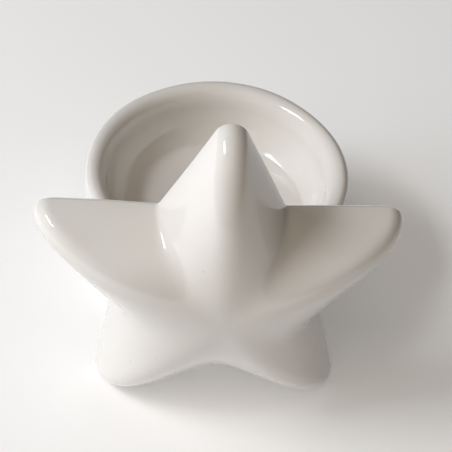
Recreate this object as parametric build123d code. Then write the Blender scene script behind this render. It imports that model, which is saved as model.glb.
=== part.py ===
from build123d import *
from math import acos, atan2, cos, hypot, radians, sin, sqrt
import os

# A glazed ceramic tealight holder. A plump five-pointed star stands upright on two of its points,
# and a round tub is joined to its back, with a shallow dish for the tealight in its top.
# Frame: +Z up, the star's face looks along -Y, the tub lies on the +Y side.
# Origin: on the table, under the middle of the whole holder.
# All sizes are in millimetres and all angles in degrees.

# Star outline, seen from the front. Angles run clockwise from straight up.
# The arms were trimmed by hand, so their reaches and angles differ a little.
TIPS = {
    "top": {"angle": 0.5, "reach": 46.0, "rounding": 4.1},
    "right_arm": {"angle": 67.5, "reach": 46.2, "rounding": 3.6},
    "right_leg": {"angle": 144.0, "reach": 49.2, "rounding": 3.0},
    "left_leg": {"angle": 216.0, "reach": 49.2, "rounding": 3.0},
    "left_arm": {"angle": 292.0, "reach": 48.2, "rounding": 3.6},
}
NOTCHES = {
    "upper_right": {"angle": 37.5, "reach": 24.5, "rounding": 1.2},
    "lower_right": {"angle": 113.0, "reach": 26.3, "rounding": 1.2},
    "between_legs": {"angle": 180.0, "reach": 26.1, "rounding": 3.0},
    "lower_left": {"angle": 253.0, "reach": 27.4, "rounding": 1.2},
    "upper_left": {"angle": 321.5, "reach": 25.0, "rounding": 1.2},
}

# Star body: contours of the outline, shrinking as they rise to the middle of each face.
FRONT_DEPTH = 20.9
BACK_DEPTH = 5.7
SHRINK_POWER = 0.805
RISE_POWER = 1.13
CONTOUR_ANGLES = (0, 10, 20, 30, 40, 50, 60, 68, 75, 81, 86)
STAR_WALL = 4.0
CAVITY_SHRINK = 0.83
SEAM_THICKNESS = 0.8
SOLE_TRIM = 0.6
VENT_RADIUS = 1.5
VENT_HEIGHT = 20.6

# Tub: its axis is vertical, and its profiles are turned round it. The bowl is its upper piece, with
# the lip, the sloping wall and the floor. The outer wall carries the bowl and is open below.
RIM_RADIUS = 34.0
RIM_HEIGHT = 35.4
LIP_RADIUS = 1.9
FLOOR_RADIUS = 23.5
FLOOR_HEIGHT = 21.0
FLOOR_CORNER_RADIUS = 1.5
FLOOR_THICKNESS = 4.5
INNER_WALL_BULGE = 1.2
TUB_WALL = 4.0
TUB_SEAM_HEIGHT = 24.0
STRAIGHT_WALL_BOTTOM = 14.0
BASE_RADIUS = 30.5
BASE_EDGE_ROUNDING = 0.8

# Joint between star and tub. The tub's axis stands this far behind the star's outline plane.
TUB_BEHIND_OUTLINE = 36.9
JOINT_GAP = 0.6
CLEAR_FROM_HEIGHT = 9.0
JOINT_WIDTH = 33.0
JOINT_BOTTOM = 15.5
JOINT_CORNER = 5.0

# Worked out from the driving sizes.
LIP_CENTRE_RADIUS = RIM_RADIUS - LIP_RADIUS
LIP_CENTRE_HEIGHT = RIM_HEIGHT - LIP_RADIUS
BOWL_BOTTOM = TUB_SEAM_HEIGHT + SEAM_THICKNESS


def polar(angle, reach):
    """A point of the star's face: right and up from its middle."""
    return (reach * sin(radians(angle)), reach * cos(radians(angle)))


def touch_point(centre, radius, outside, side):
    """Where the straight side from an outside point meets a round tip; side is +1 or -1."""
    dx = outside[0] - centre[0]
    dy = outside[1] - centre[1]
    turn = atan2(dy, dx) + side * acos(radius / hypot(dx, dy))
    return (centre[0] + radius * cos(turn), centre[1] + radius * sin(turn))


def step_towards(start, end, distance):
    """The point that lies a distance from start on the way to end."""
    length = hypot(end[0] - start[0], end[1] - start[1])
    share = distance / length
    return (start[0] + share * (end[0] - start[0]), start[1] + share * (end[1] - start[1]))


def tip_arc(tip, notch_before, notch_after):
    """The first, middle and last points of a rounded tip."""
    centre = polar(tip["angle"], tip["reach"] - tip["rounding"])
    first = touch_point(centre, tip["rounding"], notch_before, -1)
    last = touch_point(centre, tip["rounding"], notch_after, 1)
    return (first, polar(tip["angle"], tip["reach"]), last)


def notch_arc(corner, before, after, rounding):
    """The first, middle and last points of a rounded notch between two straight sides."""
    towards_before = step_towards(corner, before, 1.0)
    towards_after = step_towards(corner, after, 1.0)
    middle = ((towards_before[0] + towards_after[0]) / 2, (towards_before[1] + towards_after[1]) / 2)
    half_cos = hypot(middle[0] - corner[0], middle[1] - corner[1])
    half_sin = sqrt(1 - half_cos**2)
    setback = rounding * half_cos / half_sin
    first = step_towards(corner, before, setback)
    last = step_towards(corner, after, setback)
    return (first, step_towards(corner, middle, rounding / half_sin - rounding), last)


def outline_arcs():
    """The ten round stretches of the star, clockwise, starting with the top tip."""
    tips = list(TIPS.values())
    notches = list(NOTCHES.values())
    corners = [polar(notch["angle"], notch["reach"]) for notch in notches]
    tip_arcs = [tip_arc(tip, corners[index - 1], corners[index]) for index, tip in enumerate(tips)]
    arcs = []
    for index, notch in enumerate(notches):
        arcs.append(tip_arcs[index])
        before = tip_arcs[index][2]
        after = tip_arcs[(index + 1) % len(tips)][0]
        arcs.append(notch_arc(corners[index], before, after, notch["rounding"]))
    return arcs


def outline_wire(shrink=1.0, depth=0.0):
    """The star's outline about its middle: round stretches joined by straight sides."""
    arcs = [[Vector(x * shrink, y * shrink, depth) for x, y in arc] for arc in outline_arcs()]
    edges = []
    for index, (first, middle, last) in enumerate(arcs):
        edges.append(Edge.make_three_point_arc(first, middle, last))
        edges.append(Edge.make_line(last, arcs[(index + 1) % len(arcs)][0]))
    return Wire(edges)


def plump_star(depth, shrink=1.0):
    """A star with a flat side at depth 0 that swells to its full depth."""
    contours = []
    for angle in CONTOUR_ANGLES:
        share = cos(radians(angle)) ** SHRINK_POWER
        contours.append(outline_wire(shrink * share, depth * sin(radians(angle)) ** RISE_POWER))
    return Solid.make_loft(contours)


def star_plane(distance):
    """A plane parallel to the star's outline plane and that far in front of it, facing the front."""
    origin = (0, -TUB_BEHIND_OUTLINE - distance, STAR_MIDDLE_HEIGHT)
    return Plane(origin=origin, x_dir=(1, 0, 0), z_dir=(0, -1, 0))


def lowest_reach():
    """How far below the star's middle its legs reach."""
    lows = []
    for name in ("right_leg", "left_leg"):
        tip = TIPS[name]
        centre = polar(tip["angle"], tip["reach"] - tip["rounding"])
        lows.append(tip["rounding"] - centre[1])
    return sum(lows) / len(lows)


STAR_MIDDLE_HEIGHT = lowest_reach() - SOLE_TRIM


def above_table(shape):
    """Cuts the legs off flat where they stand on the table."""
    block = Box(200, 200, 100, align=(Align.CENTER, Align.CENTER, Align.MAX))
    return shape - block


def star_front_shell():
    shell = plump_star(FRONT_DEPTH) - plump_star(FRONT_DEPTH - STAR_WALL, CAVITY_SHRINK)
    return above_table(star_plane(SEAM_THICKNESS / 2) * shell)


def star_seam():
    ring = Face(outline_wire()) - Face(outline_wire(CAVITY_SHRINK))
    band = extrude(ring, SEAM_THICKNESS, dir=(0, 0, 1))
    return above_table(star_plane(-SEAM_THICKNESS / 2) * band)


def raw_back_plate():
    """The domed back of the star, before the tub and the vent are let into it."""
    plate = mirror(plump_star(BACK_DEPTH), about=Plane.XY)
    return above_table(star_plane(-SEAM_THICKNESS / 2) * plate)


def vent():
    """The air hole from the star's hollow to the open space under the bowl."""
    plane = Plane(origin=(0, -TUB_BEHIND_OUTLINE, VENT_HEIGHT), z_dir=(0, 1, 0))
    length = TUB_BEHIND_OUTLINE - (RIM_RADIUS - TUB_WALL) + TUB_WALL / 2
    return plane * Cylinder(VENT_RADIUS, length, align=(Align.CENTER, Align.CENTER, Align.MIN))


def star_back_plate():
    return raw_back_plate() - tub_envelope(JOINT_GAP) - vent()


def profile_point(radius, height):
    return Vector(radius, 0, height)


def turned(edges):
    """The solid that a closed profile sweeps round the tub's axis."""
    return revolve(Face(Wire(edges)), Axis.Z, 360)


def lip_point(angle, grow=0.0):
    """A point of the round lip; the angle starts at the outside and runs up over the top."""
    radius = LIP_RADIUS + grow
    return profile_point(
        LIP_CENTRE_RADIUS + radius * cos(radians(angle)),
        LIP_CENTRE_HEIGHT + radius * sin(radians(angle)),
    )


def tub_envelope(grow):
    """Everything inside the tub's outer surface, with its wall straight all the way, grown a little."""
    low_edge = profile_point(RIM_RADIUS + grow, CLEAR_FROM_HEIGHT)
    low_middle = profile_point(0, low_edge.Z)
    top_middle = profile_point(0, RIM_HEIGHT + grow)
    edges = [
        Edge.make_line(low_middle, low_edge),
        Edge.make_line(low_edge, lip_point(0, grow)),
        Edge.make_three_point_arc(lip_point(0, grow), lip_point(45, grow), lip_point(90, grow)),
        Edge.make_line(lip_point(90, grow), top_middle),
        Edge.make_line(top_middle, low_middle),
    ]
    return turned(edges)


def slope_middle(start, end, bulge):
    """The middle point of a sloping wall that bows outwards and down by the bulge."""
    along = (end - start).normalized()
    return (start + end) / 2 + Vector(along.Z, 0, -along.X) * bulge


def tub_bowl():
    """The lip, the sloping inner wall and the floor, with a shoulder that rests on the outer wall."""
    floor_middle = profile_point(0, FLOOR_HEIGHT)
    floor_edge = profile_point(FLOOR_RADIUS, FLOOR_HEIGHT)
    inner_lip = lip_point(180)
    shoulder_outside = profile_point(RIM_RADIUS, BOWL_BOTTOM)
    shoulder_inside = profile_point(RIM_RADIUS - TUB_WALL, BOWL_BOTTOM)
    under_edge = profile_point(FLOOR_RADIUS + TUB_WALL / 2, FLOOR_HEIGHT - FLOOR_THICKNESS)
    under_middle = profile_point(0, FLOOR_HEIGHT - FLOOR_THICKNESS)
    inner_bow = slope_middle(floor_edge, inner_lip, INNER_WALL_BULGE)
    under_bow = slope_middle(under_edge, shoulder_inside, INNER_WALL_BULGE)
    edges = [
        Edge.make_line(floor_middle, floor_edge),
        Edge.make_three_point_arc(floor_edge, inner_bow, inner_lip),
        Edge.make_three_point_arc(inner_lip, lip_point(90), lip_point(0)),
        Edge.make_line(lip_point(0), shoulder_outside),
        Edge.make_line(shoulder_outside, shoulder_inside),
        Edge.make_three_point_arc(shoulder_inside, under_bow, under_edge),
        Edge.make_line(under_edge, under_middle),
        Edge.make_line(under_middle, floor_middle),
    ]
    bowl = turned(edges)
    floor_circle = bowl.edges().filter_by_position(Axis.Z, FLOOR_HEIGHT, FLOOR_HEIGHT)
    return fillet(floor_circle.filter_by(GeomType.CIRCLE), FLOOR_CORNER_RADIUS)


def tub_outer_wall():
    """The ring wall that carries the bowl: straight above, curving in to the base below."""
    inner_radius = RIM_RADIUS - TUB_WALL
    top_outside = profile_point(RIM_RADIUS, TUB_SEAM_HEIGHT)
    top_inside = profile_point(inner_radius, TUB_SEAM_HEIGHT)
    bend_outside = profile_point(RIM_RADIUS, STRAIGHT_WALL_BOTTOM)
    bend_inside = profile_point(inner_radius, STRAIGHT_WALL_BOTTOM)
    base_outside = profile_point(BASE_RADIUS, 0)
    base_inside = profile_point(BASE_RADIUS - TUB_WALL, 0)
    downwards = Vector(0, 0, -1)
    edges = [
        Edge.make_line(top_inside, top_outside),
        Edge.make_line(top_outside, bend_outside),
        Edge.make_tangent_arc(bend_outside, downwards, base_outside),
        Edge.make_line(base_outside, base_inside),
        Edge.make_tangent_arc(bend_inside, downwards, base_inside),
        Edge.make_line(bend_inside, top_inside),
    ]
    ring = turned(edges)
    base_edges = ring.edges().filter_by(GeomType.CIRCLE).group_by(Axis.Z)[0]
    return fillet(base_edges, BASE_EDGE_ROUNDING) - vent()


def tub_seam():
    """The band of slip between the outer wall and the bowl."""
    corners = [
        profile_point(RIM_RADIUS - TUB_WALL, TUB_SEAM_HEIGHT),
        profile_point(RIM_RADIUS, TUB_SEAM_HEIGHT),
        profile_point(RIM_RADIUS, BOWL_BOTTOM),
        profile_point(RIM_RADIUS - TUB_WALL, BOWL_BOTTOM),
    ]
    return turned(Polyline(corners, close=True).edges())


def star_tub_joint():
    """The pad of slip that fills the space between the star's back and the tub's wall."""
    height = RIM_HEIGHT - JOINT_BOTTOM
    reach = TUB_BEHIND_OUTLINE - RIM_RADIUS + LIP_RADIUS * 3
    middle = Plane(
        origin=(0, -TUB_BEHIND_OUTLINE, JOINT_BOTTOM + height / 2),
        x_dir=(1, 0, 0),
        z_dir=(0, -1, 0),
    )
    pad = extrude(middle * RectangleRounded(JOINT_WIDTH, height, JOINT_CORNER), -reach)
    behind_outline = Plane(origin=(0, -TUB_BEHIND_OUTLINE + SEAM_THICKNESS / 2, 0), z_dir=(0, 1, 0))
    pad = split(pad, bisect_by=behind_outline, keep=Keep.TOP)
    pieces = (pad - tub_envelope(0) - star_back_plate() - vent()).solids()
    return pieces.sort_by(SortBy.VOLUME)[-1]


def main():
    pieces = {
        "star_front_shell": star_front_shell(),
        "star_back_plate": star_back_plate(),
        "star_seam": star_seam(),
        "star_tub_joint": star_tub_joint(),
        "tub_bowl": tub_bowl(),
        "tub_seam": tub_seam(),
        "tub_outer_wall": tub_outer_wall(),
    }
    box = Compound(children=[Compound(piece.solids()) for piece in pieces.values()]).bounding_box()
    shift = Location((-(box.min.X + box.max.X) / 2, -(box.min.Y + box.max.Y) / 2, 0))
    os.makedirs("parts", exist_ok=True)
    for name, piece in pieces.items():
        export_step(shift * Compound(piece.solids()), f"parts/{name}.step")
    print("overall size", box.size)
    print("tub axis in the holder's frame", shift.position)


main()
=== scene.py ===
import bpy
import numpy as np
from math import acos, atan2, ceil, cos, hypot, pi, radians, sin, sqrt
from mathutils import Matrix, Vector


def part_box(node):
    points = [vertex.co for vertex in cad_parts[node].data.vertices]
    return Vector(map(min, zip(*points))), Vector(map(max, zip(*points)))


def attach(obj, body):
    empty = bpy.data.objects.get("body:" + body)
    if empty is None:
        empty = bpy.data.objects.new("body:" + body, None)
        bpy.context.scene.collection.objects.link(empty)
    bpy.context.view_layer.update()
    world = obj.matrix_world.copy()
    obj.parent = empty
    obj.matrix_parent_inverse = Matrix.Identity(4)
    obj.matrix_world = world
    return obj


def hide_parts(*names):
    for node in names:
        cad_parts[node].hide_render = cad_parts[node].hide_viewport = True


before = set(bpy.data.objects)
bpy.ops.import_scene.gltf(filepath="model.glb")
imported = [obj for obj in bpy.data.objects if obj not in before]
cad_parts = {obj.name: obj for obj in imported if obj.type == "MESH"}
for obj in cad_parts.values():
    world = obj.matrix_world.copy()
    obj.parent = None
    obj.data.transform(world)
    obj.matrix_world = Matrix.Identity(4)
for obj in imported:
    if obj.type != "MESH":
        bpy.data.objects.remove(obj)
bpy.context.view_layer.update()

MM = 0.001

# Places and sizes that come from the frame, in metres.
bowl_low, bowl_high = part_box("tub_bowl")
wall_low, wall_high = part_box("tub_outer_wall")
seam_low, seam_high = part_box("star_seam")
front_low, front_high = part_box("star_front_shell")
back_low, back_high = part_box("star_back_plate")
joint_low, joint_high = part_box("star_tub_joint")
AXIS_X = (bowl_low.x + bowl_high.x) / 2
AXIS_Y = (bowl_low.y + bowl_high.y) / 2
RIM_RADIUS = (bowl_high.x - bowl_low.x) / 2
RIM_HEIGHT = bowl_high.z
SEAM_FRONT = seam_low.y
SEAM_BACK = seam_high.y
FRONT_DEPTH = seam_low.y - front_low.y
BACK_DEPTH = back_high.y - seam_high.y

# Star outline seen from the front: angle clockwise from straight up in degrees, then the reach
# from the star's middle and the rounding, in metres. The same sizes as the CAD part's.
TIPS = [
    (0.5, 46.0 * MM, 4.1 * MM),
    (67.5, 46.2 * MM, 3.6 * MM),
    (144.0, 49.2 * MM, 3.0 * MM),
    (216.0, 49.2 * MM, 3.0 * MM),
    (292.0, 48.2 * MM, 3.6 * MM),
]
NOTCHES = [
    (37.5, 24.5 * MM, 1.2 * MM),
    (113.0, 26.3 * MM, 1.2 * MM),
    (180.0, 26.1 * MM, 3.0 * MM),
    (253.0, 27.4 * MM, 1.2 * MM),
    (321.5, 25.0 * MM, 1.2 * MM),
]
STAR_MIDDLE = seam_high.z - TIPS[0][1]

# The star's faces: contours that shrink as they rise, with ridges and notches eased towards the
# middle. The powers, wall and cavity are the CAD part's; the easing is the glazed look's own.
SHRINK_POWER = 0.805
RISE_POWER = 1.13
STAR_WALL = 4.0 * MM
CAVITY_SHRINK = 0.83
EASING_LENGTH = 9.3 * MM
BACK_EASING = 1.0 * MM
EASING_POWER = 0.75
OUTLINE_STEP = 0.12 * MM
OUTLINE_POINTS = 640
STAR_ROWS = 64
FLAT_ROWS = 16

# Tub profile, in metres. These sizes are the CAD part's.
LIP_RADIUS = 1.9 * MM
FLOOR_RADIUS = 23.5 * MM
FLOOR_HEIGHT = 21.0 * MM
FLOOR_CORNER = 1.5 * MM
FLOOR_THICKNESS = 4.5 * MM
INNER_WALL_BULGE = 1.2 * MM
TUB_WALL = 4.0 * MM
STRAIGHT_WALL_BOTTOM = 14.0 * MM
BASE_RADIUS = 30.5 * MM
BASE_EDGE_ROUNDING = 0.8 * MM
TURNED_COLUMNS = 288

# The lip turns into the dish more broadly than the CAD part's, as glazed clay does.
LIP_CENTRE = np.array([RIM_RADIUS - LIP_RADIUS, RIM_HEIGHT - LIP_RADIUS])
LIP_INSIDE = np.array([RIM_RADIUS - 5.6 * MM, RIM_HEIGHT - 5.0 * MM])
LIP_INSIDE_PULL = 2.6 * MM
LIP_TOP_PULL = 2.4 * MM
WALL_WAY = np.array([0.06, 0.998])
BOWL_BOTTOM = wall_high.z + (SEAM_BACK - SEAM_FRONT)

# Slip pad, and how far the star's back stands clear of the tub that is let into it.
JOINT_GAP = 0.15 * MM
PAD_COLUMNS = 96
PAD_STEPS = 14
PAD_WAIST = 0.16
PAD_SQUARENESS = 3
PAD_IN_WALL = 0.2 * MM
PAD_IN_STAR = 0.05 * MM

# Colours, light and camera.
GLAZE = (0.78, 0.752, 0.715)
GLAZE_THIN = (0.74, 0.705, 0.66)
GLAZE_POOLED = (0.80, 0.78, 0.75)
SPECK = (0.45, 0.38, 0.30)
BARE_CLAY = (0.62, 0.56, 0.48)
FLOOR_SIZE = 3.0
FLOOR_GREY = 0.86
FLOOR_GLOW = 0.17
WORLD_STRENGTH = 0.03
LIGHT_AIM = Vector((AXIS_X, 0, 40 * MM))
CAMERA_AZIMUTH = -4.1
CAMERA_ELEVATION = 46.4
CAMERA_ROLL = 4.2
CAMERA_DISTANCE = 0.55
CAMERA_LENS = 165.6
CAMERA_SENSOR = 36.0
CAMERA_AIM = Vector((AXIS_X + 3.32 * MM, AXIS_Y, 13.96 * MM))


# ---- Mesh helpers ---------------------------------------------------------------------------


def mesh_object(name, vertices, faces, sharp_rows=(), columns=0):
    """A smooth-shaded object; the listed rows of vertices carry sharp edges."""
    mesh = bpy.data.meshes.new(name)
    mesh.from_pydata([tuple(v) for v in vertices], [], faces)
    mesh.shade_smooth()
    sharp = {row * columns + k for row in sharp_rows for k in range(columns)}
    if sharp:
        marks = mesh.attributes.new("sharp_edge", "BOOLEAN", "EDGE")
        values = [a in sharp and b in sharp and same_row(a, b, columns) for a, b in mesh.edge_keys]
        marks.data.foreach_set("value", values)
    mesh.update()
    thing = bpy.data.objects.new(name, mesh)
    bpy.context.scene.collection.objects.link(thing)
    return thing


def same_row(a, b, columns):
    return a // columns == b // columns


def ring_faces(rows, columns, closed):
    """Quads between rows of a closed ring; closed also joins the last row to the first."""
    faces = []
    for row in range(rows if closed else rows - 1):
        below = row * columns
        above = ((row + 1) % rows) * columns
        for k in range(columns):
            after = (k + 1) % columns
            faces.append((below + k, below + after, above + after, above + k))
    return faces


def capped_mesh(name, rows, first_pole, last_pole, sharp_rows=()):
    """A closed surface of ring rows that ends in one point at each end."""
    count, columns = len(rows), len(rows[0])
    vertices = [point for row in rows for point in row]
    faces = ring_faces(count, columns, closed=False)
    first, last = len(vertices), len(vertices) + 1
    vertices += [first_pole, last_pole]
    top = (count - 1) * columns
    for k in range(columns):
        after = (k + 1) % columns
        faces.append((after, k, first))
        faces.append((top + k, top + after, last))
    return mesh_object(name, warp(np.array(vertices)), faces, sharp_rows, columns)


def looped_mesh(name, rows, sharp_rows=()):
    """A closed surface of ring rows in which the last row joins the first, like a tyre."""
    count, columns = len(rows), len(rows[0])
    vertices = np.array([point for row in rows for point in row])
    faces = ring_faces(count, columns, closed=True)
    return mesh_object(name, warp(vertices), faces, sharp_rows, columns)


WARP_WAVES = [
    # wavelength in metres, phase along x, y and z, and the size of the unevenness in metres
    (0.061, (0.3, 1.9, 4.1), 0.16 * MM),
    (0.037, (2.2, 5.0, 0.7), 0.09 * MM),
    (0.023, (4.4, 0.9, 2.8), 0.04 * MM),
]


def warp(points):
    """The slight unevenness of hand-finished clay: one smooth field for all the pieces."""
    moved = points.copy()
    x, y, z = points.T
    hold = np.clip(z / (8 * MM), 0, 1)
    for wavelength, (px, py, pz), size in WARP_WAVES:
        k = 2 * pi / wavelength
        moved[:, 0] += size * np.sin(k * y + px) * np.cos(0.8 * k * z + py)
        moved[:, 1] += size * np.sin(k * z + py) * np.cos(0.9 * k * x + pz)
        moved[:, 2] += size * np.sin(k * x + pz) * np.cos(0.7 * k * y + px) * hold
    return moved


# ---- The star's outline ---------------------------------------------------------------------


def polar(angle, reach):
    return np.array([reach * sin(radians(angle)), reach * cos(radians(angle))])


def touch_point(centre, radius, outside, side):
    """Where the straight side from an outside point meets a round tip; side is +1 or -1."""
    dx, dy = outside - centre
    turn = atan2(dy, dx) + side * acos(radius / hypot(dx, dy))
    return centre + radius * np.array([cos(turn), sin(turn)])


def step_towards(start, end, distance):
    return start + (end - start) * distance / np.linalg.norm(end - start)


def notch_arc(corner, before, after, rounding):
    """Centre, first and last points of a rounded corner between two straight sides."""
    middle = (step_towards(corner, before, 1.0) + step_towards(corner, after, 1.0)) / 2
    half_cos = np.linalg.norm(middle - corner)
    half_sin = sqrt(1 - half_cos**2)
    setback = rounding * half_cos / half_sin
    centre = step_towards(corner, middle, rounding / half_sin)
    return centre, step_towards(corner, before, setback), step_towards(corner, after, setback)


def arc_points(centre, first, last):
    """Evenly spaced points from first up to, but not including, last, round a centre."""
    radius = np.linalg.norm(first - centre)
    start = atan2(*(first - centre)[::-1])
    sweep = (atan2(*(last - centre)[::-1]) - start + pi) % (2 * pi) - pi
    count = max(4, ceil(abs(sweep) * radius / OUTLINE_STEP))
    angles = [start + sweep * k / count for k in range(count)]
    return [centre + radius * np.array([cos(a), sin(a)]) for a in angles]


def side_points(first, last):
    count = max(2, ceil(np.linalg.norm(last - first) / OUTLINE_STEP))
    return [first + (last - first) * k / count for k in range(count)]


def star_outline():
    """Points round the star, clockwise from the top tip, about its middle."""
    corners = [polar(angle, reach) for angle, reach, _ in NOTCHES]
    tips = []
    for index, (angle, reach, rounding) in enumerate(TIPS):
        centre = polar(angle, reach - rounding)
        first = touch_point(centre, rounding, corners[index - 1], -1)
        last = touch_point(centre, rounding, corners[index], 1)
        tips.append((centre, first, last))
    points = []
    for index, (_, _, rounding) in enumerate(NOTCHES):
        centre, first, last = tips[index]
        next_first = tips[(index + 1) % len(tips)][1]
        notch_centre, notch_first, notch_last = notch_arc(corners[index], last, next_first, rounding)
        points += arc_points(centre, first, last)
        points += side_points(last, notch_first)
        points += arc_points(notch_centre, notch_first, notch_last)
        points += side_points(notch_last, next_first)
    return np.array(points)


def evenly_spaced(points):
    """The same closed line with points at equal steps."""
    closed = np.vstack([points, points[:1]])
    travel = np.concatenate([[0], np.cumsum(np.linalg.norm(np.diff(closed, axis=0), axis=1))])
    places = np.arange(OUTLINE_POINTS) * travel[-1] / OUTLINE_POINTS
    return np.stack([np.interp(places, travel, closed[:, k]) for k in range(2)], axis=1), travel[-1]


OUTLINE, OUTLINE_LENGTH = evenly_spaced(star_outline())


def eased(outline, length):
    """The outline with its ridges and notches eased over a length measured along it."""
    line = outline[:, 0] + 1j * outline[:, 1]
    turns = np.fft.fftfreq(len(line), OUTLINE_LENGTH / len(line))
    line = np.fft.ifft(np.fft.fft(line) * np.exp(-0.5 * (2 * pi * turns * length) ** 2))
    return np.stack([line.real, line.imag], axis=1)


def star_contour(plane_y, rise, shrink, easing=0.0):
    """One contour of the star: the outline shrunk about its middle, moved along Y."""
    line = eased(OUTLINE, easing) * shrink
    x = AXIS_X + line[:, 0]
    z = np.maximum(STAR_MIDDLE + line[:, 1], 0.0)
    return np.stack([x, np.full(len(line), plane_y + rise), z], axis=1)


def star_dome(plane_y, depth, shrink=1.0, easing_length=EASING_LENGTH):
    """Rows of contours from near the middle of a face out to the outline; depth is signed."""
    rows = []
    for k in range(STAR_ROWS):
        angle = (pi / 2) * (1 - (k + 0.5) / STAR_ROWS) if k < STAR_ROWS - 1 else 0.0
        size = shrink * cos(angle) ** SHRINK_POWER
        rise = depth * sin(angle) ** RISE_POWER
        easing = easing_length * (1 - size / shrink) ** EASING_POWER
        rows.append(star_contour(plane_y, rise, size, easing))
    return rows


def star_pole(plane_y, rise):
    return np.array([AXIS_X, plane_y + rise, STAR_MIDDLE])


def make_star_front():
    outside = star_dome(SEAM_FRONT, -FRONT_DEPTH)
    cavity_depth = FRONT_DEPTH - STAR_WALL
    inside = star_dome(SEAM_FRONT, -cavity_depth, CAVITY_SHRINK)[::-1]
    poles = (star_pole(SEAM_FRONT, -FRONT_DEPTH), star_pole(SEAM_FRONT, -cavity_depth))
    corners = (STAR_ROWS - 1, STAR_ROWS)
    return capped_mesh("star_front", outside + inside, *poles, sharp_rows=corners)


def tub_surface_y(x, z, grow):
    """The Y of the tub's wall that faces the star, at a place beside and above the table."""
    above_lip = np.clip(z - (RIM_HEIGHT - LIP_RADIUS), 0, LIP_RADIUS + grow)
    lip = np.sqrt(np.maximum((LIP_RADIUS + grow) ** 2 - above_lip**2, 0))
    radius = RIM_RADIUS - LIP_RADIUS + lip
    across = np.abs(x - AXIS_X)
    return AXIS_Y - np.sqrt(np.maximum(radius**2 - across**2, 0))


def let_in_tub(row):
    """Moves the points of the star's back that would lie in the tub onto the slip pad's face."""
    x, y, z = row.T
    limit = tub_surface_y(x, z, JOINT_GAP)
    beside = (z < RIM_HEIGHT + JOINT_GAP) & (np.abs(x - AXIS_X) < RIM_RADIUS)
    moved = row.copy()
    moved[:, 1] = np.where(beside, np.minimum(y, limit), y)
    return moved


def make_star_back():
    outside = [let_in_tub(row) for row in star_dome(SEAM_BACK, BACK_DEPTH, easing_length=BACK_EASING)]
    flat = [star_contour(SEAM_BACK, 0, k / FLAT_ROWS) for k in range(FLAT_ROWS - 1, 0, -1)]
    poles = (star_pole(SEAM_BACK, BACK_DEPTH), star_pole(SEAM_BACK, 0))
    return capped_mesh("star_back", outside + flat, *poles, sharp_rows=(STAR_ROWS - 1,))


def make_star_seam():
    rows = [
        star_contour(SEAM_FRONT, 0, 1.0),
        star_contour(SEAM_BACK, 0, 1.0),
        star_contour(SEAM_BACK, 0, CAVITY_SHRINK),
        star_contour(SEAM_FRONT, 0, CAVITY_SHRINK),
    ]
    return looped_mesh("star_slip_band", rows, sharp_rows=range(4))


# ---- The tub --------------------------------------------------------------------------------


def turned_row(radius, height):
    angles = np.arange(TURNED_COLUMNS) * 2 * pi / TURNED_COLUMNS
    x = AXIS_X + radius * np.cos(angles)
    y = AXIS_Y + radius * np.sin(angles)
    return np.stack([x, y, np.full(TURNED_COLUMNS, height)], axis=1)


def round_corner(before, corner, after, radius, count=8):
    """Points of a profile's rounded corner, from the side before to the side after."""
    before, corner, after = (np.array(p, float) for p in (before, corner, after))
    centre, first, last = notch_arc(corner, before, after, radius)
    start = atan2(*(first - centre)[::-1])
    sweep = (atan2(*(last - centre)[::-1]) - start + pi) % (2 * pi) - pi
    angles = [start + sweep * k / count for k in range(count + 1)]
    return [centre + radius * np.array([cos(a), sin(a)]) for a in angles]


def straight(first, last, count):
    """Evenly spaced points between two profile points, without the two themselves."""
    first, last = np.array(first, float), np.array(last, float)
    return [first + (last - first) * k / (count + 1) for k in range(1, count + 1)]


def bowed(first, last, bulge, count):
    """Points of a shallow arc between two profile points, without the two themselves."""
    first, last = np.array(first, float), np.array(last, float)
    along = (last - first) / np.linalg.norm(last - first)
    across = np.array([along[1], -along[0]])
    shares = [k / (count + 1) for k in range(1, count + 1)]
    return [first + (last - first) * s + across * bulge * 4 * s * (1 - s) for s in shares]


def lip_points(count=14):
    """The lip: a broad soft turn from the dish's wall to the top, then a round outer side."""
    top = LIP_CENTRE + np.array([0, LIP_RADIUS])
    towards_top = LIP_INSIDE + LIP_INSIDE_PULL * WALL_WAY
    before_top = top - np.array([LIP_TOP_PULL, 0])
    ways = np.array([LIP_INSIDE, towards_top, before_top, top])
    gone = np.linspace(0, 1, count + 1)[:-1]
    left = 1 - gone
    weights = np.stack([left**3, 3 * gone * left**2, 3 * gone**2 * left, gone**3])
    inner = list(weights.T @ ways)
    angles = [pi / 2 - (pi / 2) * k / count for k in range(count + 1)]
    return inner + [LIP_CENTRE + LIP_RADIUS * np.array([cos(a), sin(a)]) for a in angles]


def bowl_profile():
    floor_edge = (FLOOR_RADIUS, FLOOR_HEIGHT)
    wall = bowed(floor_edge, LIP_INSIDE, INNER_WALL_BULGE, 28)
    corner = round_corner((0, FLOOR_HEIGHT), floor_edge, wall[3], FLOOR_CORNER)
    floor = straight((0, FLOOR_HEIGHT), corner[0], 24)
    return floor + corner + [p for p in wall if p[1] > corner[-1][1] + 0.2 * MM] + lip_points()


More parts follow.
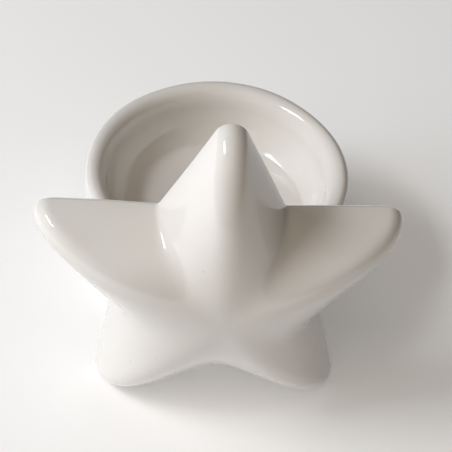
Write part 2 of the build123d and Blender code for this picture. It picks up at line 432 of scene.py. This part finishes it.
def make_bowl():
    inside = bowl_profile()
    shoulder = (RIM_RADIUS, BOWL_BOTTOM)
    heel = (RIM_RADIUS - TUB_WALL, BOWL_BOTTOM)
    under_edge = (FLOOR_RADIUS + TUB_WALL / 2, FLOOR_HEIGHT - FLOOR_THICKNESS)
    under = straight(inside[-1], shoulder, 8) + [shoulder, heel]
    under += bowed(under_edge, heel, INNER_WALL_BULGE, 10)[::-1] + [under_edge]
    under += straight(under_edge, (0, under_edge[1]), 12)
    profile = [tuple(p) for p in inside + under]
    corners = [profile.index(tuple(p)) for p in (shoulder, heel)]
    rows = [turned_row(radius, height) for radius, height in profile]
    poles = (
        np.array([AXIS_X, AXIS_Y, FLOOR_HEIGHT]),
        np.array([AXIS_X, AXIS_Y, under_edge[1]]),
    )
    return capped_mesh("bowl", rows, *poles, sharp_rows=corners)


def wall_bend(outer_radius, end_radius, count=16):
    """The lower wall: an arc that leaves the straight wall smoothly and curves in to the base."""
    inset = outer_radius - end_radius
    radius = (inset**2 + STRAIGHT_WALL_BOTTOM**2) / (2 * inset)
    whole = atan2(STRAIGHT_WALL_BOTTOM, radius - inset)
    angles = [whole * k / count for k in range(count + 1)]
    centre = outer_radius - radius
    return [(centre + radius * cos(a), STRAIGHT_WALL_BOTTOM - radius * sin(a)) for a in angles]


def make_outer_wall():
    top = wall_high.z
    outside = wall_bend(RIM_RADIUS, BASE_RADIUS)
    inside = wall_bend(RIM_RADIUS - TUB_WALL, BASE_RADIUS - TUB_WALL)
    base_out = round_corner(outside[-2], outside[-1], inside[-1], BASE_EDGE_ROUNDING)
    base_in = round_corner(outside[-1], inside[-1], inside[-2], BASE_EDGE_ROUNDING)
    profile = [(RIM_RADIUS, top)] + straight((RIM_RADIUS, top), outside[0], 10) + outside[:-1]
    profile += base_out + straight(base_out[-1], base_in[0], 4) + base_in
    profile += inside[:-1][::-1] + straight(inside[0], (RIM_RADIUS - TUB_WALL, top), 6)
    profile += [(RIM_RADIUS - TUB_WALL, top)]
    rows = [turned_row(radius, height) for radius, height in profile]
    return looped_mesh("outer_wall", rows, sharp_rows=(0, len(rows) - 1))


def make_tub_seam():
    inner = RIM_RADIUS - TUB_WALL
    corners = [
        (RIM_RADIUS, BOWL_BOTTOM),
        (RIM_RADIUS, wall_high.z),
        (inner, wall_high.z),
        (inner, BOWL_BOTTOM),
    ]
    rows = [turned_row(radius, height) for radius, height in corners]
    return looped_mesh("tub_slip_band", rows, sharp_rows=range(4))


# ---- The slip pad between star and tub ------------------------------------------------------


def make_joint(star_back):
    """A saddle of slip with hollow flanks, from the star's back to the tub's wall."""
    half_width = (joint_high.x - joint_low.x) / 2
    half_height = (joint_high.z - joint_low.z) / 2
    middle_z = (joint_high.z + joint_low.z) / 2
    rows = []
    for step in range(PAD_STEPS + 1):
        share = step / PAD_STEPS
        flare = 1 - PAD_WAIST * sin(pi * share)
        row = []
        for k in range(PAD_COLUMNS):
            turn = 2 * pi * k / PAD_COLUMNS
            corner = squared_reach(turn)
            x = AXIS_X + half_width * flare * corner * cos(turn)
            z = middle_z + half_height * flare * corner * sin(turn)
            near = star_back_y(star_back, x, z)
            far = tub_surface_y(x, min(z, RIM_HEIGHT - LIP_RADIUS), 0) + PAD_IN_WALL
            row.append((x, near + (far - near) * share, z))
        rows.append(np.array(row))
    poles = (rows[0].mean(axis=0), rows[-1].mean(axis=0))
    return capped_mesh("slip_pad", rows, *poles, sharp_rows=(0, PAD_STEPS))


def squared_reach(turn):
    """The reach of a unit circle that is drawn out a little towards its four corners."""
    power = PAD_SQUARENESS
    return (abs(cos(turn)) ** power + abs(sin(turn)) ** power) ** (-1 / power)


def star_back_y(star_back, x, z):
    """The Y of the star's back surface at a place, a hair inside it."""
    start = Vector((x, AXIS_Y, z))
    hit, place, _, _ = star_back.ray_cast(start, Vector((0, -1, 0)))
    return place.y - PAD_IN_STAR if hit else SEAM_BACK


# ---- Materials ------------------------------------------------------------------------------


def add(tree, kind, **values):
    node = tree.nodes.new(kind)
    for key, value in values.items():
        setattr(node, key, value)
    return node


def link(tree, source, target):
    tree.links.new(source, target)


def noise(tree, place, scale, detail=2.0, rough=0.5):
    node = add(tree, "ShaderNodeTexNoise")
    node.inputs["Scale"].default_value = scale
    node.inputs["Detail"].default_value = detail
    node.inputs["Roughness"].default_value = rough
    link(tree, place, node.inputs["Vector"])
    return node.outputs["Fac"]


def remap(tree, value, low, high, to_low, to_high):
    node = add(tree, "ShaderNodeMapRange", interpolation_type="SMOOTHSTEP")
    ends = {"From Min": low, "From Max": high, "To Min": to_low, "To Max": to_high}
    for name, number in ends.items():
        node.inputs[name].default_value = number
    link(tree, value, node.inputs["Value"])
    return node.outputs["Result"]


def mix_colours(tree, factor, first, second):
    """first and second are colours or sockets."""
    node = add(tree, "ShaderNodeMix", data_type="RGBA")
    link(tree, factor, node.inputs["Factor"])
    for socket, colour in ((node.inputs[6], first), (node.inputs[7], second)):
        if isinstance(colour, tuple):
            socket.default_value = (*colour, 1.0)
        else:
            link(tree, colour, socket)
    return node.outputs[2]


def math_node(tree, operation, first, second):
    node = add(tree, "ShaderNodeMath", operation=operation)
    for socket, value in zip(node.inputs, (first, second)):
        if isinstance(value, (int, float)):
            socket.default_value = value
        else:
            link(tree, value, socket)
    return node.outputs["Value"]


def glaze_material(name, bare_below=0.0):
    """Warm white glaze: pooled clouds, thin patches, fine specks, pinholes and soft waves."""
    material = bpy.data.materials.new(name)
    material.use_nodes = True
    tree = material.node_tree
    shader = tree.nodes["Principled BSDF"]
    place = add(tree, "ShaderNodeTexCoord").outputs["Object"]

    clouds = noise(tree, place, 45.0, 3.0)
    pools = noise(tree, place, 18.0, 1.5)
    colour = mix_colours(tree, remap(tree, clouds, 0.35, 0.7, 0.0, 1.0), GLAZE, GLAZE_POOLED)
    colour = mix_colours(tree, remap(tree, pools, 0.45, 0.75, 0.0, 0.6), colour, GLAZE_THIN)
    specks = noise(tree, place, 520.0, 0.0)
    colour = mix_colours(tree, remap(tree, specks, 0.86, 0.90, 0.0, 0.2), colour, SPECK)

    roughness = remap(tree, noise(tree, place, 90.0, 2.0), 0.3, 0.7, 0.10, 0.17)
    waves = noise(tree, place, 120.0, 1.0)
    pinholes = remap(tree, noise(tree, place, 900.0, 0.0), 0.72, 0.80, 0.0, -0.5)
    height = math_node(tree, "ADD", waves, pinholes)

    if bare_below:
        bare = bare_mask(tree, place, bare_below)
        colour = mix_colours(tree, bare, colour, BARE_CLAY)
        grain = noise(tree, place, 1500.0, 3.0)
        height = math_node(tree, "ADD", height, math_node(tree, "MULTIPLY", grain, bare))
        roughness = math_node(tree, "MAXIMUM", roughness, math_node(tree, "MULTIPLY", bare, 0.8))

    bump = add(tree, "ShaderNodeBump")
    bump.inputs["Strength"].default_value = 0.25
    bump.inputs["Distance"].default_value = 0.06 * MM
    link(tree, height, bump.inputs["Height"])
    link(tree, bump.outputs["Normal"], shader.inputs["Normal"])
    link(tree, colour, shader.inputs["Base Color"])
    link(tree, roughness, shader.inputs["Roughness"])
    shader.inputs["IOR"].default_value = 1.52
    shader.inputs["Coat Weight"].default_value = 0.6
    shader.inputs["Coat Roughness"].default_value = 0.04
    return material


def bare_mask(tree, place, height):
    """1 on the wiped clay near the table, 0 on the glaze, with an uneven glaze line between."""
    split = add(tree, "ShaderNodeSeparateXYZ")
    link(tree, place, split.inputs["Vector"])
    wander = math_node(tree, "MULTIPLY", noise(tree, place, 160.0, 2.0), height)
    level = math_node(tree, "SUBTRACT", split.outputs["Z"], wander)
    return remap(tree, level, 0.2 * height, 0.5 * height, 1.0, 0.0)


# ---- Stage, light and camera ----------------------------------------------------------------


def make_floor():
    mesh = bpy.data.meshes.new("floor")
    reach = FLOOR_SIZE
    corners = [(-reach, -reach, 0), (reach, -reach, 0), (reach, reach, 0), (-reach, reach, 0)]
    mesh.from_pydata(corners, [], [(0, 1, 2, 3)])
    floor = bpy.data.objects.new("floor", mesh)
    bpy.context.scene.collection.objects.link(floor)
    material = bpy.data.materials.new("pale_floor")
    material.use_nodes = True
    shader = material.node_tree.nodes["Principled BSDF"]
    shader.inputs["Base Color"].default_value = (FLOOR_GREY, FLOOR_GREY, FLOOR_GREY, 1)
    shader.inputs["Roughness"].default_value = 0.9
    shader.inputs["Emission Color"].default_value = (1, 1, 1, 1)
    shader.inputs["Emission Strength"].default_value = FLOOR_GLOW
    mesh.materials.append(material)


def direction(azimuth, elevation):
    """The unit vector from the holder to a light or camera; azimuth 0 is in front, 90 to the right."""
    a, e = radians(azimuth), radians(elevation)
    return Vector((sin(a) * cos(e), -cos(a) * cos(e), sin(e)))


def make_light(name, azimuth, elevation, distance, width, height, power, colour, glossy):
    """A soft rectangular light; one that isn't glossy lights the glaze without shining in it."""
    light = bpy.data.lights.new(name, "AREA")
    light.shape = "RECTANGLE"
    light.size = width
    light.size_y = height
    light.energy = power
    light.color = colour
    lamp = bpy.data.objects.new(name, light)
    way = direction(azimuth, elevation)
    lamp.location = LIGHT_AIM + way * distance
    lamp.rotation_euler = way.to_track_quat("Z", "Y").to_euler()
    lamp.visible_glossy = glossy
    bpy.context.scene.collection.objects.link(lamp)


# Name, azimuth and elevation in degrees, distance, width and height in metres, power in watts,
# colour, and whether it shines in the glaze.
LIGHTS = [
    ("window", -92, 33, 1.0, 0.7, 0.6, 4.9, (0.93, 0.96, 1.0), False),
    ("door", -70, 18, 1.0, 0.6, 0.5, 2.0, (0.94, 0.955, 1.0), False),
    ("room", -10, 60, 1.0, 0.6, 0.6, 2.5, (1.0, 0.85, 0.68), False),
    ("ceiling", -12, 55, 1.2, 1.5, 1.2, 0.5, (1.0, 0.97, 0.92), True),
    ("blind", -82, 48, 1.0, 0.34, 0.13, 2.7, (0.94, 0.965, 1.0), True),
]


def make_lights():
    for light in LIGHTS:
        make_light(*light)


def make_world():
    world = bpy.data.worlds.new("studio")
    world.use_nodes = True
    background = world.node_tree.nodes["Background"]
    background.inputs["Color"].default_value = (1.0, 0.98, 0.95, 1)
    background.inputs["Strength"].default_value = WORLD_STRENGTH
    bpy.context.scene.world = world


def make_camera():
    data = bpy.data.cameras.new("camera")
    data.lens = CAMERA_LENS
    data.sensor_width = CAMERA_SENSOR
    back = direction(CAMERA_AZIMUTH, CAMERA_ELEVATION)
    level_right = Vector((cos(radians(CAMERA_AZIMUTH)), sin(radians(CAMERA_AZIMUTH)), 0))
    level_up = back.cross(level_right)
    roll = radians(CAMERA_ROLL)
    right = level_right * cos(roll) + level_up * sin(roll)
    up = level_up * cos(roll) - level_right * sin(roll)
    camera = bpy.data.objects.new("camera", data)
    place = CAMERA_AIM + back * CAMERA_DISTANCE
    turn = Matrix((right, up, back)).transposed().to_4x4()
    camera.matrix_world = Matrix.Translation(place) @ turn
    bpy.context.scene.collection.objects.link(camera)
    bpy.context.scene.camera = camera


# ---- The holder -----------------------------------------------------------------------------


def finish_piece(piece, node, material):
    piece.data.materials.append(material)
    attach(piece, "root")
    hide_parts(node)


def build_holder():
    star_glaze = glaze_material("star_glaze", bare_below=0.6 * MM)
    tub_glaze = glaze_material("tub_glaze", bare_below=1.0 * MM)
    slip_glaze = glaze_material("slip_glaze", bare_below=0.6 * MM)
    star_back = make_star_back()
    bpy.context.view_layer.update()
    pad = make_joint(star_back)
    finish_piece(make_star_front(), "star_front_shell", star_glaze)
    finish_piece(star_back, "star_back_plate", star_glaze)
    finish_piece(make_star_seam(), "star_seam", slip_glaze)
    finish_piece(pad, "star_tub_joint", slip_glaze)
    finish_piece(make_bowl(), "tub_bowl", tub_glaze)
    finish_piece(make_tub_seam(), "tub_seam", slip_glaze)
    finish_piece(make_outer_wall(), "tub_outer_wall", tub_glaze)


build_holder()
make_floor()
make_world()
make_lights()
make_camera()
bpy.context.scene.view_settings.view_transform = "Standard"
